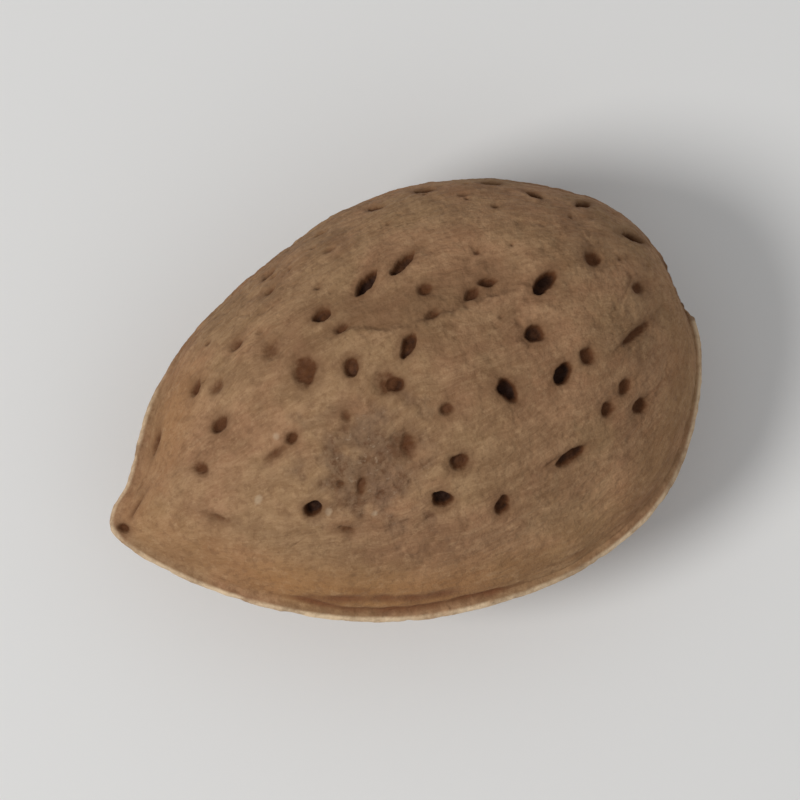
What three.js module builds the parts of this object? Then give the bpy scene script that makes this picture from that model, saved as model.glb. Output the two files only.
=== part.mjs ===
// An almond in its shell, lying on one of its two broad faces.
//
// Millimetres, +Z up. The long axis runs along X, with the pointed tip towards -X and the blunt
// stem end towards +X. The keel, which is the raised seam of the shell, runs along the -Y edge and
// the rounder back of the nut along the +Y edge. The origin is the middle of the bounding box in
// plan, on the surface that the nut rests on.
//
// The shell is one closed solid. It is drawn as two domes, one above and one below the seam
// outline, that meet at the seam. Each dome is a set of rings shrinking from the outline to a
// pole, and the pole of the lower dome is the small flat spot that the nut rests on.

import * as THREE from 'three';

// Driving dimensions
const LENGTH = 35.5;
const WIDTH = 24.6;
const THICKNESS = 16.5;

// The seam's height over the ground, and how far out the flat spot reaches from the pole.
const SEAM_LEVEL = 8.1;
const FLAT_SPOT_SHARE = 0.2;

// Where the domes are highest: a little towards the stem end, as on a real almond. Around the
// pole the rings of the domes are ellipses, and only near the seam do they take its outline.
const POLE = new THREE.Vector2(2.0, 0.4);
const ELLIPSE_HALF_LENGTH = 17.0;
const ELLIPSE_HALF_WIDTH = 12.2;

// How the domes fall off to the seam. A low power bulges like an egg, a high one tapers like a
// wedge: these are the middle value and what the keel edge, the tip and the stem end add to it.
const FALL_POWER = 0.6;
const KEEL_ADDS = 0.05;
const TIP_ADDS = 0.12;
const STEM_ADDS = -0.04;

// The seam ridge: how far it stands out of the shell at the keel and at the back, half the
// thickness of its crest at both, and how much it thickens for each millimetre in from the crest.
const KEEL_STAND = 0.5;
const BACK_SEAM_STAND = 0.15;
const KEEL_HALF_THICKNESS = 0.28;
const BACK_SEAM_HALF_THICKNESS = 0.15;
const RIDGE_FLARE = 0.35;

// Where the seam turns from the back's low ridge into the keel, as how far a direction from the
// pole points to -Y, and into the tip's, as how far it points to -X.
const KEEL_TURN = [-0.35, 0.45];
const TIP_TURN = [0.8, 1];

// The scar where the stem was: a shallow dimple in the blunt end. It starts at this share of the
// half length.
const SCAR_DEPTH = 0.3;
const SCAR_RADIUS = 2.0;
const SCAR_START = 0.8;

// The seam isn't quite level: it wanders up and down around the nut in two waves, by about this
// much in all. The shell follows it from this share of the way to the seam.
const SEAM_WANDER = 0.3;
const TWO_WAVES_PHASE = 0.6;
const THREE_WAVES_PHASE = -1.1;
const WANDER_START = 0.3;

const SIDES = 72;
const RING_INSETS = [0.1, 0.28, 0.5, 0.8, 1.3, 2.1];
const INNER_RINGS = [0.78, 0.66, 0.54, 0.42, 0.3, FLAT_SPOT_SHARE];
const RING_COUNT = RING_INSETS.length + INNER_RINGS.length;

const SHELL_MATERIAL = new THREE.MeshStandardMaterial({
  name: 'shell',
  color: 0x9a7650,
  roughness: 0.85,
  metalness: 0,
});

// The seam outline seen from above, as points on a closed smooth curve: the tip first, then the
// keel edge to the stem end, then the back to the tip again.
const SEAM_POINTS = [
  [-17.8, 0.7],
  [-17.4, -0.6],
  [-16.2, -2.4],
  [-13.6, -5.3],
  [-9.6, -8.5],
  [-4.4, -11.1],
  [1.0, -12.3],
  [6.6, -12.3],
  [11.6, -10.6],
  [15.2, -7.1],
  [17.3, -2.9],
  [17.6, 1.3],
  [15.9, 5.8],
  [12.6, 9.0],
  [8.0, 11.4],
  [3.0, 12.3],
  [-3.4, 11.4],
  [-8.9, 9.3],
  [-12.5, 6.9],
  [-14.8, 4.2],
  [-16.0, 2.6],
  [-17.2, 1.7],
];

function smoothStep(from, to, value) {
  const share = Math.min(Math.max((value - from) / (to - from), 0), 1);
  return share * share * (3 - 2 * share);
}

// The seam outline as points in plan, scaled so that it measures LENGTH by WIDTH and is centred.
function seamOutline() {
  const points = SEAM_POINTS.map(([x, y]) => new THREE.Vector3(x, y, 0));
  const curve = new THREE.CatmullRomCurve3(points, true, 'centripetal');
  const outline = curve.getSpacedPoints(SIDES).slice(0, SIDES);
  const box = new THREE.Box3().setFromPoints(outline);
  const size = box.getSize(new THREE.Vector3());
  const middle = box.getCenter(new THREE.Vector3());
  return outline.map((point) => new THREE.Vector2(
    (point.x - middle.x) * LENGTH / size.x,
    (point.y - middle.y) * WIDTH / size.y,
  ));
}

// What the shell is like in one direction from the pole: the direction is a unit vector.
function shellTowards(direction) {
  const tipShare = ((1 - direction.x) / 2) ** 3;
  const stemShare = ((1 + direction.x) / 2) ** 3;
  const power = FALL_POWER - KEEL_ADDS * direction.y + TIP_ADDS * tipShare + STEM_ADDS * stemShare;
  const seamShare = Math.max(
    smoothStep(...KEEL_TURN, -direction.y),
    smoothStep(...TIP_TURN, -direction.x),
  );
  const stand = THREE.MathUtils.lerp(BACK_SEAM_STAND, KEEL_STAND, seamShare);
  const halfThickness = THREE.MathUtils.lerp(BACK_SEAM_HALF_THICKNESS, KEEL_HALF_THICKNESS, seamShare);
  return { power, stand, halfThickness };
}

// Height of a dome over the seam as a share of its full height. Out is 0 at the pole and 1 where
// the dome would meet the seam level.
function domeShare(out, power, flatShare) {
  const clamped = THREE.MathUtils.clamp(out, flatShare, 1);
  return ((1 - clamped * clamped) / (1 - flatShare * flatShare)) ** power;
}

// Half the thickness of the seam ridge at an inset from its rounded crest.
function ridgeHeight(inset, halfThickness) {
  const share = Math.min(inset / halfThickness, 1);
  return halfThickness * Math.sqrt(1 - (1 - share) ** 2) + RIDGE_FLARE * inset;
}

// How far the shell is lifted by the wandering of its seam: not at all over the flat spot.
function seamLift(direction, out) {
  const angle = Math.atan2(direction.y, direction.x);
  const twoWaves = Math.sin(2 * angle + TWO_WAVES_PHASE);
  const threeWaves = Math.sin(3 * angle + THREE_WAVES_PHASE) / 2;
  return SEAM_WANDER * (twoWaves + threeWaves) / 1.5 * smoothStep(WANDER_START, 1, out);
}

function domeHeight(side) {
  return side < 0 ? SEAM_LEVEL : THICKNESS - SEAM_LEVEL;
}

function ellipseReach(direction) {
  return 1 / Math.hypot(direction.x / ELLIPSE_HALF_LENGTH, direction.y / ELLIPSE_HALF_WIDTH);
}

// One point of a dome, on the spoke from the pole to an edge point of the seam. Out is its share
// of the way to the seam, and side is 1 above the seam and -1 below it.
function shellPoint(edge, out, side) {
  const spoke = edge.clone().sub(POLE);
  const reach = spoke.length();
  const direction = spoke.normalize();
  const { power, stand, halfThickness } = shellTowards(direction);
  const distance = out * THREE.MathUtils.lerp(ellipseReach(direction), reach, out * out);
  const flatShare = side < 0 ? FLAT_SPOT_SHARE : 0;
  const dome = domeHeight(side) * domeShare(out * reach / (reach - stand), power, flatShare);
  const ridge = ridgeHeight(reach - distance, halfThickness);
  const place = POLE.clone().addScaledVector(direction, distance);
  const level = SEAM_LEVEL + seamLift(direction, out) + side * Math.max(dome, ridge);
  return pressScar(new THREE.Vector3(place.x, place.y, level));
}

// The stem scar pushes the blunt end in around the middle of the seam.
function pressScar(point) {
  const offset = Math.hypot(point.y - POLE.y, point.z - SEAM_LEVEL);
  const reach = smoothStep(SCAR_START * LENGTH / 2, LENGTH / 2, point.x);
  point.x -= SCAR_DEPTH * reach * Math.exp(-((offset / SCAR_RADIUS) ** 2));
  return point;
}

// Where the rings of a dome cross one spoke, from just inside the seam to just outside the pole.
function ringShares(edge) {
  const spoke = edge.clone().sub(POLE);
  const reach = spoke.length();
  const { stand } = shellTowards(spoke.normalize());
  const nearSeam = RING_INSETS.map((inset) => 1 - inset / reach);
  const nearPole = INNER_RINGS.map((share) => share * (1 - stand / reach));
  return [...nearSeam, ...nearPole];
}

// The vertices of a dome, ring by ring, with the pole last. The seam ring isn't among them.
function domeVertices(outline, side) {
  const rings = Array.from({ length: RING_COUNT }, () => []);
  for (const edge of outline) {
    ringShares(edge).forEach((out, ring) => {
      rings[ring].push(shellPoint(edge, out, side));
    });
  }
  const poleLevel = SEAM_LEVEL + side * domeHeight(side);
  return [...rings.flat(), new THREE.Vector3(POLE.x, POLE.y, poleLevel)];
}

// The triangles between the seam ring, a dome's rings and its pole, facing out.
function domeTriangles(seamStart, domeStart, side) {
  const starts = [seamStart];
  for (let ring = 0; ring < RING_COUNT; ring += 1) {
    starts.push(domeStart + ring * SIDES);
  }
  const pole = domeStart + RING_COUNT * SIDES;
  const triangles = [];
  const add = (a, b, c) => triangles.push(...(side > 0 ? [a, b, c] : [a, c, b]));
  for (let i = 0; i < SIDES; i += 1) {
    const next = (i + 1) % SIDES;
    for (let ring = 0; ring < RING_COUNT; ring += 1) {
      const [outer, inner] = [starts[ring], starts[ring + 1]];
      add(outer + i, outer + next, inner + next);
      add(outer + i, inner + next, inner + i);
    }
    const last = starts[RING_COUNT];
    add(last + i, last + next, pole);
  }
  return triangles;
}

function shellGeometry() {
  const outline = seamOutline();
  const seam = outline.map((edge) => shellPoint(edge, 1, 1));
  const above = domeVertices(outline, 1);
  const below = domeVertices(outline, -1);
  const upperStart = seam.length;
  const lowerStart = upperStart + above.length;
  const geometry = new THREE.BufferGeometry();
  geometry.setFromPoints([...seam, ...above, ...below]);
  geometry.setIndex([
    ...domeTriangles(0, upperStart, 1),
    ...domeTriangles(0, lowerStart, -1),
  ]);
  return fitToSize(geometry);
}

// The scar shortens the shell a little, so it is stretched back to its length and centred.
function fitToSize(geometry) {
  geometry.computeBoundingBox();
  const box = geometry.boundingBox;
  const size = box.getSize(new THREE.Vector3());
  const middle = box.getCenter(new THREE.Vector3());
  geometry.translate(-middle.x, -middle.y, -box.min.z);
  geometry.scale(LENGTH / size.x, WIDTH / size.y, THICKNESS / size.z);
  geometry.computeVertexNormals();
  return geometry;
}

const almond = new THREE.Mesh(shellGeometry(), SHELL_MATERIAL);
almond.name = 'almond';

const part = new THREE.Group();
part.add(almond);

export default part;
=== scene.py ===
"""An almond in its shell, lying on one of its two broad faces.

Shapes are worked out in millimetres in the CAD frame: the tip points towards -X, the keel is along
the -Y edge and +Z is up. They are turned into metres when the mesh is made.
"""

import math

import bpy
import numpy as np
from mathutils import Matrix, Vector


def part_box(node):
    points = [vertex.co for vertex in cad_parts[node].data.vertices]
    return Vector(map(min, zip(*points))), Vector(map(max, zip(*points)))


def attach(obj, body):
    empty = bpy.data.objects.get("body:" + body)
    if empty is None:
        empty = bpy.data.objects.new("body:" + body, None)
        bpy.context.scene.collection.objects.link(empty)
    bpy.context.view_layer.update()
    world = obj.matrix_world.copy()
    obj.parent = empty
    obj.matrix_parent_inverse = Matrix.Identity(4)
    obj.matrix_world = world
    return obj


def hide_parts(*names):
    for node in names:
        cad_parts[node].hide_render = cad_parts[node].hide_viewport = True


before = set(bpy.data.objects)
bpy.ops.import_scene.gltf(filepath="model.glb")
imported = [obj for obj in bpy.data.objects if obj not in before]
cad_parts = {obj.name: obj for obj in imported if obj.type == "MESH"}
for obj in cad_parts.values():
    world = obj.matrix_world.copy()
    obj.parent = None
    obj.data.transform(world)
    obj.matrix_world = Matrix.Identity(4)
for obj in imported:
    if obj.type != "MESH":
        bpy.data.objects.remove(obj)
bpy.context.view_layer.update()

MM = 0.001
NODE = "almond"
BODY = "root"

# ---------------------------------------------------------------- the shell's plain shape

NODE_LOW, NODE_HIGH = (np.array(corner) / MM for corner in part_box(NODE))
LENGTH, WIDTH, THICKNESS = NODE_HIGH - NODE_LOW

# These are the values of the CAD part's own shape, so that this one lies on it.
SEAM_LEVEL = 8.1
FLAT_SPOT_SHARE = 0.2
POLE = np.array([2.0, 0.4])
ELLIPSE_HALF_LENGTH = 17.0
ELLIPSE_HALF_WIDTH = 12.2

FALL_POWER = 0.6
KEEL_ADDS = 0.05
TIP_ADDS = 0.12
STEM_ADDS = -0.04

KEEL_STAND = 0.5
BACK_SEAM_STAND = 0.15
KEEL_HALF_THICKNESS = 0.28
BACK_SEAM_HALF_THICKNESS = 0.15
RIDGE_FLARE = 0.35

# Where the seam turns into the keel, as how far a direction points to -Y, and into the tip's ridge,
# as how far it points to -X.
KEEL_TURN = (-0.35, 0.45)
TIP_TURN = (0.8, 1)

SCAR_DEPTH = 0.3
SCAR_RADIUS = 2.0
SCAR_START = 0.8

SEAM_WANDER = 0.3
TWO_WAVES_PHASE = 0.6
THREE_WAVES_PHASE = -1.1
WANDER_START = 0.3

# The seam outline in plan: the tip, the keel edge, the stem end and then the back.
SEAM_POINTS = np.array([
    (-17.8, 0.7), (-17.4, -0.6), (-16.2, -2.4), (-13.6, -5.3), (-9.6, -8.5), (-4.4, -11.1),
    (1.0, -12.3), (6.6, -12.3), (11.6, -10.6), (15.2, -7.1), (17.3, -2.9), (17.6, 1.3),
    (15.9, 5.8), (12.6, 9.0), (8.0, 11.4), (3.0, 12.3), (-3.4, 11.4), (-8.9, 9.3),
    (-12.5, 6.9), (-14.8, 4.2), (-16.0, 2.6), (-17.2, 1.7),
])

# How many steps the outline takes from one of those points to the next.
OUTLINE_STEPS = 60


def smooth_step(start, end, value):
    share = np.clip((value - start) / (end - start), 0, 1)
    return share * share * (3 - 2 * share)


def lerp(low, high, share):
    return low + (high - low) * share


def closed_curve(points, steps):
    """A smooth closed curve through the points: a centripetal Catmull-Rom spline."""
    pieces = []
    share = np.linspace(0, 1, steps, endpoint=False)[:, None]
    for i in range(len(points)):
        before, start, end, after = (points[(i + k) % len(points)] for k in (-1, 0, 1, 2))
        pairs = ((before, start), (start, end), (end, after))
        gaps = [math.sqrt(math.dist(*pair)) for pair in pairs]
        leave = (start - before) / gaps[0] - (end - before) / (gaps[0] + gaps[1])
        leave = (leave + (end - start) / gaps[1]) * gaps[1]
        arrive = (end - start) / gaps[1] - (after - start) / (gaps[1] + gaps[2])
        arrive = (arrive + (after - end) / gaps[2]) * gaps[1]
        square, cube = share ** 2, share ** 3
        pieces.append(
            start * (2 * cube - 3 * square + 1) + leave * (cube - 2 * square + share)
            + end * (3 * square - 2 * cube) + arrive * (cube - square)
        )
    return np.vstack(pieces)


def seam_outline():
    """The seam in plan, centred and scaled to the CAD length and width."""
    curve = closed_curve(SEAM_POINTS, OUTLINE_STEPS)
    low, high = curve.min(0), curve.max(0)
    return (curve - (low + high) / 2) * np.array([LENGTH, WIDTH]) / (high - low)


def seam_reach_table():
    """The distance from the pole to the seam, against the angle of the direction."""
    spokes = seam_outline() - POLE
    angle = np.arctan2(spokes[:, 1], spokes[:, 0])
    order = np.argsort(angle)
    return angle[order], np.hypot(*spokes.T)[order]


SEAM_ANGLES, SEAM_REACHES = seam_reach_table()


def seam_reach(angle):
    return np.interp(angle, SEAM_ANGLES, SEAM_REACHES, period=2 * math.pi)


def ellipse_reach(angle):
    return 1 / np.hypot(np.cos(angle) / ELLIPSE_HALF_LENGTH, np.sin(angle) / ELLIPSE_HALF_WIDTH)


def seam_share(angle):
    """How much of a keel the seam is: 1 along the keel and the tip, and 0 on the back."""
    keel = smooth_step(*KEEL_TURN, -np.sin(angle))
    tip = smooth_step(*TIP_TURN, -np.cos(angle))
    return np.maximum(keel, tip)


def fall_power(angle):
    tip = ((1 - np.cos(angle)) / 2) ** 3
    stem = ((1 + np.cos(angle)) / 2) ** 3
    return FALL_POWER - KEEL_ADDS * np.sin(angle) + TIP_ADDS * tip + STEM_ADDS * stem


def dome_share(out, power, flat):
    return ((1 - np.clip(out, flat, 1) ** 2) / (1 - flat ** 2)) ** power


def ridge_height(inset, half):
    share = np.clip(inset / half, 0, 1)
    return half * np.sqrt(1 - (1 - share) ** 2) + RIDGE_FLARE * inset


def seam_lift(angle, out):
    two_waves = np.sin(2 * angle + TWO_WAVES_PHASE)
    three_waves = np.sin(3 * angle + THREE_WAVES_PHASE) / 2
    return SEAM_WANDER * (two_waves + three_waves) / 1.5 * smooth_step(WANDER_START, 1, out)


def plain_shell(out, angle, side):
    """Points of the plain shell: out is the share of the way from the pole to the seam."""
    reach = seam_reach(angle)
    stand = lerp(BACK_SEAM_STAND, KEEL_STAND, seam_share(angle))
    half = lerp(BACK_SEAM_HALF_THICKNESS, KEEL_HALF_THICKNESS, seam_share(angle))
    distance = out * lerp(ellipse_reach(angle), reach, out ** 2)
    flat = np.where(side < 0, FLAT_SPOT_SHARE, 0.0)
    full = np.where(side < 0, SEAM_LEVEL, THICKNESS - SEAM_LEVEL)
    dome = full * dome_share(out * reach / (reach - stand), fall_power(angle), flat)
    height = np.maximum(dome, ridge_height(reach - distance, half))
    x = POLE[0] + distance * np.cos(angle)
    y = POLE[1] + distance * np.sin(angle)
    z = SEAM_LEVEL + seam_lift(angle, out) + side * height
    offset = np.hypot(y - POLE[1], z - SEAM_LEVEL)
    by_stem = smooth_step(SCAR_START * LENGTH / 2, LENGTH / 2, x)
    press = by_stem * np.exp(-(offset / SCAR_RADIUS) ** 2)
    return np.stack([x - SCAR_DEPTH * press, y, z], axis=-1)


# ---------------------------------------------------------------- the dense grid on that shape

GRID = 501

# The table of distances along the surface: its steps from the pole to the seam, how strongly they
# crowd towards the seam, and how many directions it has.
PROFILE_STEPS = 700
PROFILE_CROWDING = 1.6
PROFILE_SPOKES = 241


def disc_grid(count):
    """A square grid squeezed onto a disc: each vertex's ring share and its angle."""
    line = np.linspace(-1, 1, count)
    a, b = np.meshgrid(line, line, indexing="ij")
    wide = np.abs(a) >= np.abs(b)
    radius = np.where(wide, a, b)
    part = np.where(wide, b, a) / np.where(radius == 0, 1, radius)
    turn = np.where(wide, math.pi / 4 * part, math.pi / 2 - math.pi / 4 * part)
    angle = np.arctan2(radius * np.sin(turn), radius * np.cos(turn))
    return np.abs(radius), angle


def even_spacing(ring, angle, side):
    """How far out each vertex goes, so that the rings are evenly spaced along the surface.

    Each vertex's distance from the seam along the surface is the second result.
    """
    outs = 1 - (1 - np.linspace(0, 1, PROFILE_STEPS)) ** PROFILE_CROWDING
    angles = np.linspace(-math.pi, math.pi, PROFILE_SPOKES)
    spokes = plain_shell(outs[:, None], angles[None, :], side)
    steps = np.linalg.norm(np.diff(spokes, axis=0), axis=-1)
    run = np.vstack([np.zeros(len(angles)), np.cumsum(steps, axis=0)])
    out = np.zeros_like(ring)
    length = np.interp(angle, angles, run[-1])
    for share in np.unique(ring):
        at = ring == share
        here = [np.interp(share * run[-1, k], run[:, k], outs) for k in range(PROFILE_SPOKES)]
        out[at] = np.interp(angle[at], angles, here)
    return out, (1 - ring) * length


class Shell:
    """The vertices, faces and surface coordinates of the shell's mesh."""

    def __init__(self, count):
        ring, angle = disc_grid(count)
        inner = np.zeros((count, count), bool)
        inner[1:-1, 1:-1] = True

        def join(over, under):
            return np.concatenate([over.ravel(), under[inner]])

        over_out, over_inset = even_spacing(ring, angle, 1)
        under_out, under_inset = even_spacing(ring, angle, -1)
        self.ring = join(ring, ring)
        self.angle = join(angle, angle)
        self.side = join(np.ones_like(ring), -np.ones_like(ring))
        self.inset = join(over_inset, under_inset)
        self.points = plain_shell(join(over_out, under_out), self.angle, self.side)
        self.fit_to_node()
        over = np.arange(count * count).reshape(count, count)
        under = over.copy()
        under[inner] = count * count + np.arange(inner.sum())
        self.quads = np.vstack([grid_quads(over), grid_quads(under)[:, ::-1]])
        self.quad_side = np.repeat([1, -1], (count - 1) ** 2)

    def fit_to_node(self):
        low, high = self.points.min(0), self.points.max(0)
        self.points = (self.points - low) * (NODE_HIGH - NODE_LOW) / (high - low) + NODE_LOW

    def normals(self):
        """The outward normal at each vertex."""
        corners = self.points[self.quads]
        across = np.cross(corners[:, 2] - corners[:, 0], corners[:, 3] - corners[:, 1])
        total = np.zeros_like(self.points)
        for k in range(4):
            for axis in range(3):
                total[:, axis] += np.bincount(self.quads[:, k], across[:, axis], len(total))
        return total / np.linalg.norm(total, axis=1, keepdims=True)


def grid_quads(index):
    """The four corners of every cell of a grid of vertex numbers."""
    corners = (index[:-1, :-1], index[1:, :-1], index[1:, 1:], index[:-1, 1:])
    return np.stack([corner.ravel() for corner in corners], axis=1)


# ---------------------------------------------------------------- noise

# What brings the noise up to about -1 to 1.
PERLIN_GAIN = 1.7


def perlin(points, seed):
    """Smooth noise of about -1 to 1 with features about one unit across."""
    rng = np.random.default_rng(seed)
    order = rng.permutation(256)
    slopes = rng.normal(size=(256, 3)).T
    slopes = slopes / np.linalg.norm(slopes, axis=0)
    cell = np.floor(points.T).astype(int)
    part = points.T - cell
    fade = part ** 3 * (part * (part * 6 - 15) + 10)
    total = np.zeros(len(points))
    for corner in np.ndindex(2, 2, 2):
        key = 0
        weight = 1
        for axis in range(3):
            key = order[(key + cell[axis] + corner[axis]) & 255]
            weight = weight * np.abs(1 - corner[axis] - fade[axis])
        rise = sum(slopes[axis][key] * (part[axis] - corner[axis]) for axis in range(3))
        total += weight * rise
    return total * PERLIN_GAIN


def fractal(points, seed, octaves=3):
    """Noise with finer noise on it, each octave half the size and half the strength."""
    return sum(perlin(points * 2 ** k, seed + k) / 2 ** k for k in range(octaves))


# ---------------------------------------------------------------- pits

# Pits on the upper face, where the real nut has them: place in plan, length, width, tilt from the
# long axis in degrees, and depth.
FACE_PITS = [
    (1.0, 7.15, 1.6, 0.72, 33, 0.6),
    (3.4, 7.4, 1.9, 0.65, 28, 0.45),
    (-2.0, 6.4, 0.95, 0.8, 15, 0.45),
    (3.9, 5.45, 0.9, 0.75, 0, 0.3),
    (3.7, 3.8, 0.95, 0.6, 0, 0.26),
    (6.2, 4.05, 1.3, 0.6, 25, 0.34),
    (7.3, 4.35, 1.1, 0.5, -12, 0.36),
    (10.3, 3.0, 1.65, 0.85, 26, 0.58),
    (13.4, 3.3, 1.15, 1.0, 10, 0.36),
    (15.35, 0.9, 1.1, 0.8, 0, 0.28),
    (14.1, -1.55, 3.1, 0.55, 8, 0.28),
    (8.65, 0.5, 1.05, 0.9, 0, 0.55),
    (5.8, -1.9, 1.4, 0.85, -75, 0.65),
    (9.1, -2.2, 1.25, 0.78, 30, 0.6),
    (10.85, -1.8, 1.05, 0.9, 0, 0.36),
    (12.15, -4.1, 1.05, 0.8, 30, 0.3),
    (10.8, -4.95, 0.95, 0.75, 18, 0.36),
    (12.55, -5.4, 1.0, 0.8, 0, 0.36),
    (7.8, -6.6, 1.9, 0.65, 0, 0.46),
    (6.6, -6.5, 1.4, 0.35, 5, 0.16),
    (2.25, -1.5, 0.85, 0.65, 0, 0.28),
    (1.75, -4.45, 1.0, 0.85, 10, 0.4),
    (0.05, -5.95, 1.05, 0.8, -25, 0.62),
    (3.05, -7.55, 1.1, 0.75, 60, 0.45),
    (-6.85, -3.45, 0.85, 0.8, 0, 0.62),
    (-5.6, -5.3, 1.0, 0.55, -35, 0.24),
    (-0.25, 1.2, 1.6, 1.35, -20, 0.24),
    (0.1, 0.95, 1.05, 0.8, -25, 0.42),
    (-0.6, -2.6, 2.0, 1.0, 80, 0.25),
    (-1.7, 2.9, 1.05, 0.8, 60, 0.42),
    (1.75, 2.75, 1.35, 0.75, 40, 0.48),
    (-4.2, 3.85, 1.8, 1.35, 68, 0.34),
    (-5.4, 5.85, 1.3, 1.1, 75, 0.2),
    (-7.05, 7.2, 1.05, 0.8, -10, 0.22),
    (-10.2, 6.0, 1.2, 0.75, 40, 0.27),
    (-9.0, 5.35, 1.1, 0.9, 0, 0.2),
    (-9.8, 3.25, 1.05, 0.9, 0, 0.36),
    (-11.7, 1.45, 1.15, 0.85, -60, 0.26),
    (-13.55, 4.2, 1.9, 0.6, 30, 0.24),
    (-6.4, 0.6, 0.75, 0.65, 0, 0.33),
    (-7.5, 0.2, 1.6, 0.55, 8, 0.2),
    (-3.15, 0.5, 0.9, 0.6, 85, 0.2),
    (-1.4, 5.2, 0.95, 0.55, 10, 0.24),
    (-17.1, 0.4, 0.8, 0.5, -50, 0.3),
    (-16.0, 1.2, 1.7, 0.4, 14, 0.2),
    (-11.9, -1.6, 1.9, 0.55, -35, 0.18),
    (-3.9, -3.45, 1.3, 0.55, 66, 0.26),
    (-4.9, -2.9, 0.55, 0.45, 0, 0.2),
    (0.0, 10.0, 0.9, 0.5, 0, 0.15),
    (-4.0, 9.3, 0.9, 0.5, 10, 0.2),
]

# Painted highlights: tiny pale flecks on the upper face.
HIGHLIGHT_FLECKS = [(-9.5, -1.7), (-7.1, 1.05), (-3.7, -5.1), (-6.1, -4.0)]
HIGHLIGHT_FLECK_RADIUS = 0.22

# A pit's soft edge reaches this many times as far as its listed size, and the noise that makes the
# edge ragged moves it by this share.
PIT_SPREAD = 1.2
PIT_RAGGEDNESS = 0.18

# The seeded pits of the hidden face and of the upper face's back edge: how many and how far apart.
UNDER_PITS = 62
UNDER_GAP = 2.1
OVER_PITS = 9
OVER_GAP = 2.4

# The number of pinholes on the two faces, and the seed of the pits and the pinholes.
PINHOLES = 80
PIT_SEED = 11

# The depths of the seeded pits, and the tilt that most of them are close to.
PIT_DEPTHS = [0.15, 0.25, 0.4, 0.6, 0.75]
GRAIN_TILT = 8

# How far the seeded pits stay from the back seam and from the keel.
BACK_MARGIN = 1.6
KEEL_MARGIN = 4.2


def pit_frame(normal, tilt):
    """Two directions in the surface: along the pit and across it."""
    along = np.array([1.0, 0.0, 0.0]) - normal * normal[0]
    along /= np.linalg.norm(along)
    across = np.cross(normal, along)
    turn = math.radians(tilt)
    return (
        along * math.cos(turn) + across * math.sin(turn),
        across * math.cos(turn) - along * math.sin(turn),
    )


def pit_reach(away, normal, length, width, tilt):
    """How far out a vertex is in a pit, 1 at its edge, and where it is from end to end."""
    along, across = pit_frame(normal, tilt)
    end = away @ along / (PIT_SPREAD * length / 2)
    flank = away @ across / (PIT_SPREAD * width / 2)
    # A short pit is a rounded oval, and a long one is more pointed at its ends.
    roundness = lerp(2.2, 1.6, smooth_step(1.2, 2.2, length / width))
    return (np.abs(end) ** roundness + np.abs(flank) ** roundness) ** (1 / roundness), end


def press_pits(shell, normals, pits, wobble):
    """How deep the pits are at each vertex, and how close by one is."""
    depth = np.zeros(len(shell.points))
    halo = np.zeros(len(shell.points))
    for index, length, width, tilt, most in pits:
        centre, normal = shell.points[index], normals[index]
        near = np.flatnonzero(np.abs(shell.points - centre).max(1) < length * 1.5)
        near = near[normals[near] @ normal > 0.2]
        reach, end = pit_reach(shell.points[near] - centre, normal, length, width, tilt)
        reach += PIT_RAGGEDNESS * wobble[near] * smooth_step(0.1, 0.7, reach)
        # The wall is steep in a deep pit and soft in a shallow one.
        wall = lerp(0.1, 0.6, smooth_step(0.12, 0.5, most)) - 0.12 * end
        hole = most * (1 - smooth_step(wall, 1.1, reach)) * (1 - 0.22 * wobble[near])
        depth[near] = np.maximum(depth[near], hole)
        stain = (1 - smooth_step(0.8, 2.1, reach)) * min(most / 0.4, 1)
        halo[near] = np.maximum(halo[near], stain)
    return depth, halo


def face_pits(shell):
    """The listed pits, with each place turned into the nearest vertex of the upper face."""
    upper = np.flatnonzero(shell.side > 0)
    plan = shell.points[upper, :2]
    pits = []
    for x, y, length, width, tilt, depth in FACE_PITS:
        nearest = upper[np.argmin(np.hypot(*(plan - (x, y)).T))]
        pits.append((nearest, length, width, tilt, depth))
    return pits


def scattered_pits(shell, allowed, count, gap, rng):
    """Pits at random places among the allowed vertices, no closer together than the gap."""
    pits, places = [], []
    for index in rng.permutation(np.flatnonzero(allowed)):
        here = shell.points[index]
        if all(math.dist(here, other) > gap for other in places):
            places.append(here)
            length = rng.uniform(0.55, 1.2) * (1.5 if rng.random() < 0.2 else 1)
            width = rng.uniform(0.45, 0.75) * min(length, 1.0)
            depth = rng.choice(PIT_DEPTHS) * rng.uniform(0.8, 1.1)
            pits.append((index, length, width, rng.normal(GRAIN_TILT, 28), depth))
        if len(pits) == count:
            break
    return pits


def pinholes(allowed, count, rng):
    """Tiny pits, as vertex, length, width, tilt and depth."""
    places = rng.choice(np.flatnonzero(allowed), count, replace=False)
    lengths = rng.uniform(0.26, 0.48, count)
    shares = rng.uniform(0.6, 0.95, count)
    tilts = rng.normal(GRAIN_TILT, 30, count)
    depths = rng.uniform(0.07, 0.2, count)
    return list(zip(places, lengths, lengths * shares, tilts, depths))


def every_pit(shell, keel):
    """The listed pits, the seeded ones and the pinholes.

    The seeded pits lie all over the hidden face, but on the upper face only by its back edge.
    """
    rng = np.random.default_rng(PIT_SEED)
    clear = shell.inset > lerp(BACK_MARGIN, KEEL_MARGIN, keel)
    hidden = shell.side < 0
    under = hidden & clear & (shell.ring > 0.05)
    over = ~hidden & clear & (shell.inset < 4.0) & (keel < 0.1) & (shell.points[:, 0] > -4)
    pits = face_pits(shell)
    pits += scattered_pits(shell, under, UNDER_PITS, UNDER_GAP, rng)
    pits += scattered_pits(shell, over, OVER_PITS, OVER_GAP, rng)
    pits += pinholes(clear & (hidden | (keel < 0.6)), PINHOLES, rng)
    return pits


# ---------------------------------------------------------------- the whole surface


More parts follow.
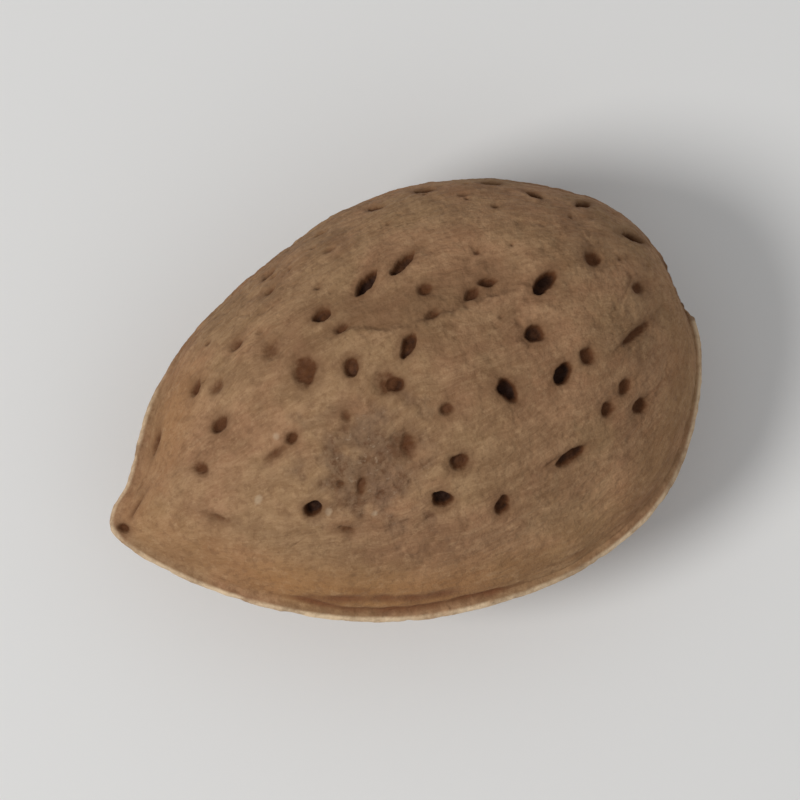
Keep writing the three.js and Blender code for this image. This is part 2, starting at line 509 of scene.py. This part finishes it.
def outline_edges(x):
    """The seam's Y on the back edge and on the keel edge, at each X."""
    outline = seam_outline()
    edges = []
    for edge in (outline[outline[:, 1] > 0], outline[outline[:, 1] <= 0]):
        edge = edge[np.argsort(edge[:, 0])]
        edges.append(np.interp(x, edge[:, 0], edge[:, 1]))
    return edges


def grain_coordinates(points):
    """Coordinates that run with the grain: one along the nut and two in a circle round it."""
    x = points[:, 0]
    top, low = outline_edges(x)
    half = np.maximum((top - low) / 2, 0.8)
    across = (points[:, 1] - (top + low) / 2) / half
    up = (points[:, 2] - SEAM_LEVEL) / (half * THICKNESS / WIDTH)
    waver = 0.07 * perlin(points / 5, 91) + 0.03 * perlin(points / 1.8, 92)
    turn = np.arctan2(up, across) + waver
    radius = np.sqrt(half * WIDTH / 2)
    return np.stack([x, np.cos(turn) * radius, np.sin(turn) * radius], axis=1)


# Furrows beside the keel: inset from the keel, where they start and end along X, width, depth.
KEEL_FURROWS = [
    (1.1, -12.0, 4.0, 0.36, 0.2),
    (2.2, -10.5, 0.5, 0.45, 0.19),
    (3.2, -9.5, -3.5, 0.35, 0.08),
    (1.6, 3.0, 14.5, 0.36, 0.07),
]

# A bruise on the upper face: a dull, dirty patch.
BRUISE = np.array([-3.1, -2.7])
BRUISE_RADIUS = 3.7

# A crease across the upper face that links some of its pits, and its width and depth.
CREASE = np.array([(-1.4, 5.2), (0.7, 4.4), (2.2, 3.8), (3.7, 3.8), (7.2, 3.8), (9.6, 3.4)])
CREASE_WIDTH = 0.36
CREASE_DEPTH = 0.17

# The rough scar in the dimple of the stem end: half its width and half its height.
SCAR_HALF_WIDTH = 1.7
SCAR_HALF_HEIGHT = 1.15

# The relief in millimetres: the heights or depths of each kind of unevenness.
LUMPS = 0.2
SMALL_LUMPS = 0.1
DENTS = 0.09
DIMPLES = 0.04
GRAIN_CREASES = 0.05
FIBRES = 0.017
CRUMBS = 0.018
BRUISE_CRUMBS = 0.05
SCAR_CRUMBS = 0.1
BAND_STREAKS = 0.02
NICKS = 0.03
SEAM_WEAVE = 0.14
HALO_SINK = 0.07
BRUISE_SINK = 0.1
SCAR_SINK = 0.22
SCAR_RIM_RISE = 0.06

# The depths that the material's furrow and hollow fields count as 1; the hollow field darkens the
# colour as painted shade.
FURROW_UNIT = 0.16
HOLLOW_UNIT = 0.06


def keel_furrows(shell, keel):
    """Long grooves that run beside the keel on both faces, each bending in its own way."""
    x = shell.points[:, 0]
    total = np.zeros(len(x))
    for k, (inset, start, end, width, depth) in enumerate(KEEL_FURROWS):
        line = np.stack([x / 4, shell.side * 7.3, np.full(len(x), 2.7 * k)], axis=1)
        bends = 0.4 * perlin(line, 25) + 0.07 * perlin(line * 5, 26)
        across = (shell.inset - inset - bends) / width
        ends = smooth_step(start, start + 3, x) * (1 - smooth_step(end - 3, end, x))
        patchy = 0.75 + 0.5 * perlin(line * 3, 27)
        total += depth * ends * keel * patchy * np.exp(-across ** 2)
    return np.clip(total, 0, 0.3)


def face_crease(shell, wobble):
    """The crease on the upper face: a thin dip, with a soft step down on its far side."""
    x, y = shell.points[:, 0], shell.points[:, 1]
    level = np.interp(x, CREASE[:, 0], CREASE[:, 1])
    off = (y - level - 0.25 * wobble) / CREASE_WIDTH
    start, end = CREASE[0, 0], CREASE[-1, 0]
    ends = smooth_step(start - 1, start + 1.5, x) * (1 - smooth_step(end - 2, end + 1, x))
    step = smooth_step(-1.5, 2, off) * (1 - smooth_step(2.5, 9, off))
    return CREASE_DEPTH * ends * (np.exp(-off ** 2) + 0.9 * step) * (shell.side > 0)


def crease_lines(grain, seed):
    """Thin wandering lines along the grain: 1 on a line and 0 away from it."""
    bend = 0.5 * perlin(grain * [0.25, 0.5, 0.5], seed)
    field = perlin(grain * [0.16, 0.6, 0.6] + bend[:, None], seed + 1)
    strength = smooth_step(0.0, 0.55, perlin(grain * [0.25, 0.35, 0.35], seed + 2))
    return (1 - smooth_step(0.0, 0.1, np.abs(field))) * strength


def highlight_fleck_field(shell, wobble):
    """1 on the pale flecks of painted highlight and 0 away from them."""
    field = np.zeros(len(shell.points))
    for x, y in HIGHLIGHT_FLECKS:
        away = np.hypot(shell.points[:, 0] - x, shell.points[:, 1] - y) / HIGHLIGHT_FLECK_RADIUS
        field = np.maximum(field, 1 - smooth_step(0.3, 1.2, away + 0.7 * wobble))
    return field * (shell.side > 0)


def bruise_field(shell):
    """1 in the bruise's darkest patches and 0 outside it."""
    away = np.hypot(*(shell.points[:, :2] - BRUISE).T) / BRUISE_RADIUS
    patches = fractal(shell.points * 0.7, 81, 4)
    return smooth_step(-0.1, 1.0, 1.15 - away + 0.6 * patches) * (away < 1.8) * (shell.side > 0)


def scar_field(points):
    """Two fields: 1 inside the stem scar and 0 outside, and 1 along its ragged rim."""
    across = (points[:, 1] - POLE[1]) / SCAR_HALF_WIDTH
    up = (points[:, 2] - SEAM_LEVEL) / SCAR_HALF_HEIGHT
    away = np.hypot(across, up)
    away = away - 0.2 * perlin(points * 1.3, 95) - 0.1 * perlin(points * 3.5, 96)
    end = points[:, 0] > LENGTH / 4
    return end * (1 - smooth_step(0.6, 1.15, away)), end * np.exp(-((away - 1.05) / 0.22) ** 2)


def displace(shell):
    """Moves the plain shell's vertices to the real surface and returns its fields."""
    normals = shell.normals()
    points = shell.points
    inset = shell.inset
    grain = grain_coordinates(points)
    keel = seam_share(shell.angle)
    wobble = perlin(points * 1.5, 21) + 0.3 * perlin(points * 4, 22)

    pit, halo = press_pits(shell, normals, every_pit(shell, keel), wobble)
    scar, scar_rim = scar_field(points)
    bruise = bruise_field(shell)
    on_ridge = (1 - smooth_step(0.24, 0.68, inset)) * lerp(0.12, 1, keel) * (1 - scar)
    # The band beside the keel is smooth, and it is most golden a little way in from the tip.
    band = smooth_step(0.5, 1.4, inset) * (1 - smooth_step(2.5, 6.0, inset)) * keel
    golden = smooth_step(-15, -9, points[:, 0]) * (1 - smooth_step(-6, 6, points[:, 0]))

    rough = 1 - 0.6 * band
    dents = DENTS * np.maximum(fractal(points * 0.8, 33, 2) - 0.1, 0) * rough
    dimples = DIMPLES * smooth_step(0.25, 0.8, perlin(points * 1.7, 35)) * rough
    creases = GRAIN_CREASES * crease_lines(grain, 45) * rough + face_crease(shell, wobble)
    furrows = keel_furrows(shell, keel)
    fibres = FIBRES * fractal(grain * [0.4, 2.0, 2.0], 41, 3)
    crumbliness = CRUMBS * rough + BRUISE_CRUMBS * bruise + SCAR_CRUMBS * scar
    crumbs = crumbliness * fractal(points * 3.0, 51, 3)
    lanes = np.stack([points[:, 0] / 5, inset * 2.6, shell.side * 9], 1)
    streaks = BAND_STREAKS * band * perlin(lanes, 61)
    raised = (fibres + crumbs) * (1 - 0.6 * on_ridge) + streaks
    hollow = dents + dimples + creases + furrows - raised

    off_floor = smooth_step(0.1, 0.6, points[:, 2]) * (1 - on_ridge)
    lumps = LUMPS * perlin(points / 6.5, 31) + SMALL_LUMPS * perlin(points / 2.8, 32)
    nicks = NICKS * on_ridge * fractal(points * [0.9, 0.9, 0.4], 71, 3)
    sunk = HALO_SINK * halo + BRUISE_SINK * bruise + SCAR_SINK * scar - SCAR_RIM_RISE * scar_rim
    rise = lumps * off_floor - hollow - nicks - pit - sunk
    by_seam = 1 - smooth_step(0.5, 1.6, inset)
    weave = SEAM_WEAVE * by_seam * fractal(points * [0.35, 0.35, 0], 75, 2)
    shell.points = points + normals * rise[:, None]
    shell.points[:, 2] = np.maximum(shell.points[:, 2] + weave, 0)
    return {
        "pit": pit,
        "halo": halo,
        "ridge": on_ridge,
        "band": band * lerp(0.35, 1, golden),
        "furrow": furrows / FURROW_UNIT,
        "hollow": hollow / HOLLOW_UNIT,
        "bruise": bruise,
        "highlight_fleck": highlight_fleck_field(shell, wobble),
        "scar": scar,
        "rim": scar_rim,
        "grain": grain,
    }


# ---------------------------------------------------------------- the mesh object

# Half the width and half the length of each face's disc in the layout.
DISC_HALF_WIDTH = 0.245
DISC_HALF_LENGTH = 0.31


def bake_layout(shell):
    """The two faces of the nut laid out side by side as discs, for each corner of each quad."""
    radius = shell.ring[shell.quads]
    angle = shell.angle[shell.quads]
    side = shell.quad_side[:, None]
    middle = np.where(side > 0, 0.25, 0.75)
    u = middle + DISC_HALF_WIDTH * radius * np.sin(angle)
    v = 0.5 + DISC_HALF_LENGTH * radius * np.cos(angle) * side
    return np.stack([u, v], axis=-1).reshape(-1, 2)


def shell_object(shell, fields):
    mesh = bpy.data.meshes.new("almond_shell")
    mesh.vertices.add(len(shell.points))
    mesh.vertices.foreach_set("co", (shell.points * MM).astype(np.float32).ravel())
    mesh.loops.add(shell.quads.size)
    mesh.loops.foreach_set("vertex_index", shell.quads.ravel().astype(np.int32))
    mesh.polygons.add(len(shell.quads))
    mesh.polygons.foreach_set("loop_start", np.arange(0, shell.quads.size, 4, dtype=np.int32))
    mesh.update(calc_edges=True)
    mesh.shade_smooth()
    layer = mesh.uv_layers.new(name="OFBake")
    layer.uv.foreach_set("vector", bake_layout(shell).astype(np.float32).ravel())
    for name, values in fields.items():
        kind, key = ("FLOAT_VECTOR", "vector") if values.ndim == 2 else ("FLOAT", "value")
        attribute = mesh.attributes.new(name, kind, "POINT")
        attribute.data.foreach_set(key, values.astype(np.float32).ravel())
    mesh.validate()
    shape = bpy.data.objects.new("almond_shell", mesh)
    bpy.context.scene.collection.objects.link(shape)
    return shape


# ---------------------------------------------------------------- materials


class Nodes:
    """Short calls for building a node tree."""

    def __init__(self, material):
        self.tree = material.node_tree
        self.tree.nodes.clear()

    def new(self, kind, settings=None, **inputs):
        node = self.tree.nodes.new(kind)
        for name, value in (settings or {}).items():
            setattr(node, name, value)
        for name, value in inputs.items():
            self.put(node.inputs[name.replace("_", " ")], value)
        return node

    def put(self, socket, value):
        if isinstance(value, bpy.types.NodeSocket):
            self.tree.links.new(value, socket)
        else:
            socket.default_value = value

    def field(self, name, output="Fac"):
        return self.new("ShaderNodeAttribute", {"attribute_name": name}).outputs[output]

    def noise(self, vector, scale, detail=4.0, roughness=0.55):
        node = self.new(
            "ShaderNodeTexNoise", Vector=vector, Scale=scale, Detail=detail, Roughness=roughness
        )
        return node.outputs["Fac"]

    def range(self, value, low, high, start=0.0, end=1.0):
        node = self.new("ShaderNodeMapRange", {"interpolation_type": "SMOOTHSTEP"})
        for socket, number in zip(node.inputs, (value, low, high, start, end)):
            self.put(socket, number)
        return node.outputs["Result"]

    def maths(self, operation, *values):
        node = self.new("ShaderNodeMath", {"operation": operation})
        for socket, number in zip(node.inputs, values):
            self.put(socket, number)
        return node.outputs["Value"]

    def mix(self, share, low, high):
        node = self.new("ShaderNodeMix", {"data_type": "RGBA"})
        sockets = (node.inputs["Factor"], node.inputs[6], node.inputs[7])
        for socket, value in zip(sockets, (share, low, high)):
            self.put(socket, value)
        return node.outputs[2]

    def cover(self, colour, over, share, strength):
        """A colour with another over it: the share times the strength says how much of it."""
        return self.mix(self.maths("MULTIPLY", share, strength), colour, over)

    def stretch(self, vector, scale):
        node = self.new("ShaderNodeVectorMath", {"operation": "MULTIPLY"})
        self.put(node.inputs[0], vector)
        self.put(node.inputs[1], scale)
        return node.outputs["Vector"]


def linear(red, green, blue):
    """A colour for the shader from its display values, which run from 0 to 255."""
    values = (channel / 255 for channel in (red, green, blue))
    return (*(v / 12.92 if v <= 0.04045 else ((v + 0.055) / 1.055) ** 2.4 for v in values), 1.0)


ROSE = linear(161, 120, 87)
OLIVE = linear(153, 120, 85)
PALE = linear(186, 150, 112)
BROWN = linear(113, 80, 53)
GOLD = linear(160, 113, 66)
RUST = linear(116, 68, 39)
GREY = linear(102, 79, 62)
# Pale specks in the bruise, and the painted highlights of the flecks.
CHALK_AND_HIGHLIGHT = linear(196, 174, 146)
# The crest's pale colour, partly its own and partly a painted highlight.
RIDGE_PALE_AND_HIGHLIGHT = linear(224, 197, 162)
PIT_BROWN = linear(92, 55, 28)
# Near black for the deepest pits: partly their own dark inside and partly painted shade.
PIT_BLACK = linear(45, 22, 8)

# The height of the finest relief, which only the material has.
BUMP_HEIGHT = 0.09 * MM


def ground_colour(n, place, long_grain):
    """The shell's own colour: clouds, streaks along the grain, blotches and powder."""
    patches = n.range(n.noise(place, 210.0, 3.0), 0.4, 0.62)
    clouds = n.range(n.noise(place, 150.0, 4.0), 0.38, 0.64)
    streaks = n.range(n.noise(long_grain, 0.9, 5.0, 0.62), 0.36, 0.66)
    blotches = n.range(n.noise(place, 640.0, 4.0, 0.6), 0.42, 0.64)
    threads = n.range(n.noise(long_grain, 4.5, 4.0, 0.65), 0.4, 0.64)
    hairs = n.range(n.noise(long_grain, 7.0, 3.0, 0.6), 0.54, 0.68)
    powder = n.range(n.noise(place, 1500.0, 5.0, 0.7), 0.5, 0.68)
    grit = n.range(n.noise(place, 2600.0, 3.0, 0.6), 0.5, 0.66)

    layers = (
        (BROWN, clouds, 0.45),
        (PALE, streaks, 0.32),
        (BROWN, blotches, 0.32),
        (BROWN, threads, 0.19),
        (PALE, hairs, 0.19),
        (GOLD, n.field("band"), 0.66),
        (PALE, powder, 0.3),
        (BROWN, grit, 0.32),
    )
    colour = n.mix(patches, ROSE, OLIVE)
    for over, share, strength in layers:
        colour = n.cover(colour, over, share, strength)
    return colour


def bruise_colour(n, place, colour):
    """A dirty patch over the colour, with dark and light specks in it."""
    bruise = n.field("bruise")
    dark = n.range(n.noise(place, 1000.0, 5.0, 0.72), 0.48, 0.62)
    light = n.range(n.noise(n.stretch(place, (1.0, 1.3, 1.0)), 1900.0, 3.0, 0.7), 0.59, 0.68)
    colour = n.cover(colour, GREY, bruise, 0.52)
    colour = n.cover(colour, PIT_BROWN, n.maths("MULTIPLY", bruise, dark), 0.65)
    return n.cover(colour, CHALK_AND_HIGHLIGHT, n.maths("MULTIPLY", bruise, light), 0.22)


def ridge_colour(n, place, colour):
    """The pale crest of the keel and of the tip over the colour, partly its own pale colour and
    partly a painted highlight, broken up in places.
    """
    fine_breakup = n.range(n.noise(place, 520.0, 5.0, 0.75), 0.34, 0.6, 0.25, 1.0)
    broad_breakup = n.range(n.noise(place, 170.0, 2.0), 0.38, 0.62, 0.65, 1.0)
    crest = n.range(n.field("ridge"), 0.15, 0.95)
    return n.cover(colour, RIDGE_PALE_AND_HIGHLIGHT, n.maths("MULTIPLY", fine_breakup, broad_breakup), crest)


def scar_colour(n, place, colour):
    """The stem scar and its dark rim over the colour."""
    fibrous = n.range(n.noise(place, 1600.0, 4.0, 0.65), 0.4, 0.62)
    colour = n.cover(colour, PIT_BROWN, n.field("rim"), 0.55)
    return n.cover(colour, n.mix(fibrous, PIT_BROWN, OLIVE), n.field("scar"), 0.7)


def pit_colour(n, place, colour):
    """The pits over the colour: brown where they are shallow, near black where they are deep,
    partly their own dark inside and partly painted shade.
    """
    halo = n.field("halo")
    fuzz = n.maths("SUBTRACT", n.noise(place, 2300.0, 4.0, 0.65), 0.5)
    fuzz = n.maths("MULTIPLY", n.maths("MULTIPLY", fuzz, halo), 0.5)
    depth = n.maths("ADD", n.field("pit"), fuzz)
    colour = n.cover(colour, BROWN, halo, 0.65)
    colour = n.mix(n.range(depth, 0.0, 0.3), colour, PIT_BROWN)
    return n.mix(n.range(depth, 0.25, 0.65), colour, PIT_BLACK)


def shell_colour(n, place, long_grain):
    """The shell's colour, from fine noise and from the fields stored on the mesh."""
    colour = ground_colour(n, place, long_grain)
    # Painted shade: the colour darkens towards BROWN in the dents, dimples, creases and furrows.
    colour = n.mix(n.range(n.field("hollow"), 0.3, 2.4, 0.0, 0.55), colour, BROWN)
    colour = bruise_colour(n, place, colour)
    # Painted highlights: pale flecks over the colour.
    colour = n.cover(colour, CHALK_AND_HIGHLIGHT, n.field("highlight_fleck"), 0.38)
    colour = n.mix(n.range(n.field("furrow"), 0.1, 1.2, 0.0, 0.75), colour, RUST)
    colour = ridge_colour(n, place, colour)
    colour = scar_colour(n, place, colour)
    return pit_colour(n, place, colour)


def shell_material():
    material = bpy.data.materials.new("almond_shell")
    material.use_nodes = True
    n = Nodes(material)
    place = n.new("ShaderNodeTexCoord").outputs["Object"]
    long_grain = n.stretch(n.field("grain", "Vector"), (0.2, 1.0, 1.0))
    colour = shell_colour(n, place, long_grain)

    threads = n.noise(long_grain, 4.5, 4.0, 0.6)
    crumbs = n.noise(place, 1400.0, 3.0, 0.6)
    powder = n.noise(place, 3600.0, 4.0, 0.7)
    relief = n.maths("ADD", n.maths("MULTIPLY", threads, 0.6), n.maths("ADD", crumbs, powder))
    bump = n.new("ShaderNodeBump", Strength=0.8, Distance=BUMP_HEIGHT, Height=relief)
    shader = n.new("ShaderNodeBsdfPrincipled")
    shader.inputs["Specular IOR Level"].default_value = 0.25
    n.put(shader.inputs["Base Color"], colour)
    n.put(shader.inputs["Roughness"], n.range(threads, 0.3, 0.7, 0.72, 0.92))
    n.put(shader.inputs["Normal"], bump.outputs["Normal"])
    n.new("ShaderNodeOutputMaterial", Surface=shader.outputs["BSDF"])
    return material


FLOOR_COLOUR = (0.78, 0.77, 0.75, 1)


def floor_material():
    material = bpy.data.materials.new("studio_floor")
    material.use_nodes = True
    shader = material.node_tree.nodes["Principled BSDF"]
    shader.inputs["Base Color"].default_value = FLOOR_COLOUR
    shader.inputs["Roughness"].default_value = 0.9
    return material


# ---------------------------------------------------------------- stage, lights and camera

MIDDLE = Vector((0.0, 0.0, SEAM_LEVEL * MM))

# The long axis rises to the right in the picture by LEAN, and the camera looks down by LOOK_DOWN,
# both in degrees. It aims at a point a little above the nut's middle in the picture.
LEAN = 23.6
LOOK_DOWN = 83.0
FRAME_LIFT = 1.0 * MM
CAMERA_DISTANCE = 0.382
CAMERA_LENS = 300.0

SKY_COLOUR = (0.95, 0.97, 1.0, 1)
SKY_STRENGTH = 0.45


def turned(azimuth, elevation, distance, about=MIDDLE):
    """A place at a distance from a point, by its azimuth from +X and its elevation."""
    a, e = math.radians(azimuth), math.radians(elevation)
    level = math.cos(e)
    return about + distance * Vector((level * math.cos(a), level * math.sin(a), math.sin(e)))


# The floor in metres: how far out it is flat, how far it reaches, and how high its edge rises.
FLOOR_FLAT = 0.7
FLOOR_RADIUS = 4.0
FLOOR_RISE = 1.6
FLOOR_RINGS = 40
FLOOR_SIDES = 96


def add_floor():
    """A floor that is flat under the nut and curves up far away, so that no edge shows."""
    mesh = bpy.data.meshes.new("studio_floor")
    vertices = [(0.0, 0.0, 0.0)]
    for ring in range(1, FLOOR_RINGS + 1):
        radius = FLOOR_RADIUS * ring / FLOOR_RINGS
        out = max(radius - FLOOR_FLAT, 0) / (FLOOR_RADIUS - FLOOR_FLAT)
        height = FLOOR_RISE * out ** 2
        for side in range(FLOOR_SIDES):
            turn = 2 * math.pi * side / FLOOR_SIDES
            vertices.append((radius * math.cos(turn), radius * math.sin(turn), height))
    faces = []
    for side in range(FLOOR_SIDES):
        after = (side + 1) % FLOOR_SIDES
        faces.append((0, 1 + side, 1 + after))
        for ring in range(FLOOR_RINGS - 1):
            inner, outer = 1 + ring * FLOOR_SIDES, 1 + (ring + 1) * FLOOR_SIDES
            faces.append((inner + side, outer + side, outer + after, inner + after))
    mesh.from_pydata(vertices, [], faces)
    mesh.shade_smooth()
    mesh.materials.append(floor_material())
    floor = bpy.data.objects.new("studio_floor", mesh)
    bpy.context.scene.collection.objects.link(floor)


def add_light(name, azimuth, elevation, distance, size, power):
    data = bpy.data.lights.new(name, "AREA")
    data.shape = "DISK"
    data.size = size
    data.energy = power
    light = bpy.data.objects.new(name, data)
    light.location = turned(azimuth, elevation, distance)
    light.rotation_euler = (light.location - MIDDLE).to_track_quat("Z", "Y").to_euler()
    bpy.context.scene.collection.objects.link(light)


def add_world():
    world = bpy.data.worlds.new("studio")
    world.use_nodes = True
    background = world.node_tree.nodes["Background"]
    background.inputs["Color"].default_value = SKY_COLOUR
    background.inputs["Strength"].default_value = SKY_STRENGTH
    bpy.context.scene.world = world


def add_camera():
    data = bpy.data.cameras.new("camera")
    data.lens = CAMERA_LENS
    data.clip_start = 0.005
    data.clip_end = 10.0
    camera = bpy.data.objects.new("camera", data)
    towards = -LEAN + 270.0
    aim = turned(towards + 180, 0, FRAME_LIFT)
    camera.location = turned(towards, LOOK_DOWN, CAMERA_DISTANCE, aim)
    camera.rotation_euler = (camera.location - aim).to_track_quat("Z", "Y").to_euler()
    bpy.context.scene.collection.objects.link(camera)
    bpy.context.scene.camera = camera


def build_almond():
    shell = Shell(GRID)
    fields = displace(shell)
    piece = shell_object(shell, fields)
    piece.data.materials.append(shell_material())
    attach(piece, BODY)
    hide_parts(NODE)


build_almond()
add_floor()
add_world()
add_light("key", azimuth=178, elevation=48, distance=0.5, size=0.2, power=1.4)
add_light("fill", azimuth=285, elevation=50, distance=0.6, size=0.4, power=0.17)
add_camera()
bpy.context.scene.view_settings.view_transform = "Standard"
